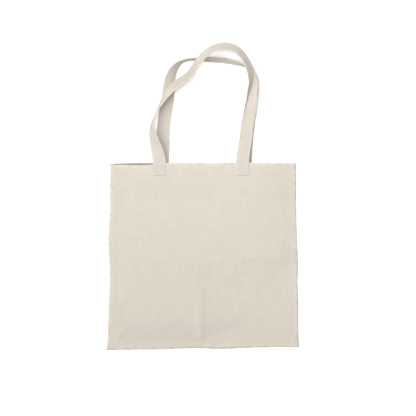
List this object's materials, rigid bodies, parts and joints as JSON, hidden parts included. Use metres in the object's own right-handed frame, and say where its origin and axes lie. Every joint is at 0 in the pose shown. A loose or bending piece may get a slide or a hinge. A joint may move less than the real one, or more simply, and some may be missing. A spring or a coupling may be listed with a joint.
{
  "type": "canvas tote bag",
  "caption": "Flat natural canvas tote bag lying on its back, open at the mouth, with long webbing handles sewn on outside with box-and-cross stitching.",
  "frame": {"origin": "centre of the bag body, on the flat underside of the back panel that it lies on", "axes": "+X to the right seen from the front, +Y from the base seam to the mouth and the handles, +Z out of the front panel"},
  "size_m": [0.369, 0.5881, 0.05],
  "materials": {
    "canvas": "plain-weave natural cotton canvas",
    "canvas_inside": "inside layers of the same canvas",
    "webbing": "heavy woven cotton webbing",
    "thread": "natural sewing thread"
  },
  "bodies": {
    "bag_back": {"back_panel": "canvas", "back_hem_facing": "canvas_inside", "left_seam_allowance": "canvas_inside", "right_seam_allowance": "canvas_inside", "bottom_seam_allowance": "canvas_inside", "left_seam_stitching": "thread", "left_seam_overlock": "thread", "right_seam_stitching": "thread", "right_seam_overlock": "thread", "bottom_seam_stitching": "thread", "bottom_seam_overlock": "thread", "back_hem_stitching": "thread", "back_handle_end_left": "webbing", "back_handle_end_right": "webbing", "back_left_cross_stitch": "thread", "back_right_cross_stitch": "thread"},
    "bag_front": {"front_panel": "canvas", "front_hem_facing": "canvas_inside", "front_hem_stitching": "thread", "front_handle_end_left": "webbing", "front_handle_end_right": "webbing", "front_left_cross_stitch": "thread", "front_right_cross_stitch": "thread"},
    "front_handle": {"front_handle": "webbing"},
    "back_handle": {"back_handle": "webbing"}
  },
  "joints": [
    {"name": "mouth_open", "type": "hinge", "parent": "bag_back", "child": "bag_front", "pos_m": [0, -0.1785, 0.0034], "axis": [1, 0, 0], "range_deg": [0, 8]},
    {"name": "front_handle_flop", "type": "hinge", "parent": "bag_front", "child": "front_handle", "pos_m": [0, 0.17865, 0.0156], "axis": [1, 0, 0], "range_deg": [0, 150]},
    {"name": "back_handle_flop", "type": "hinge", "parent": "bag_back", "child": "back_handle", "pos_m": [0, 0.17865, 0.0003], "axis": [1, 0, 0], "range_deg": [-165, 0]}
  ]
}
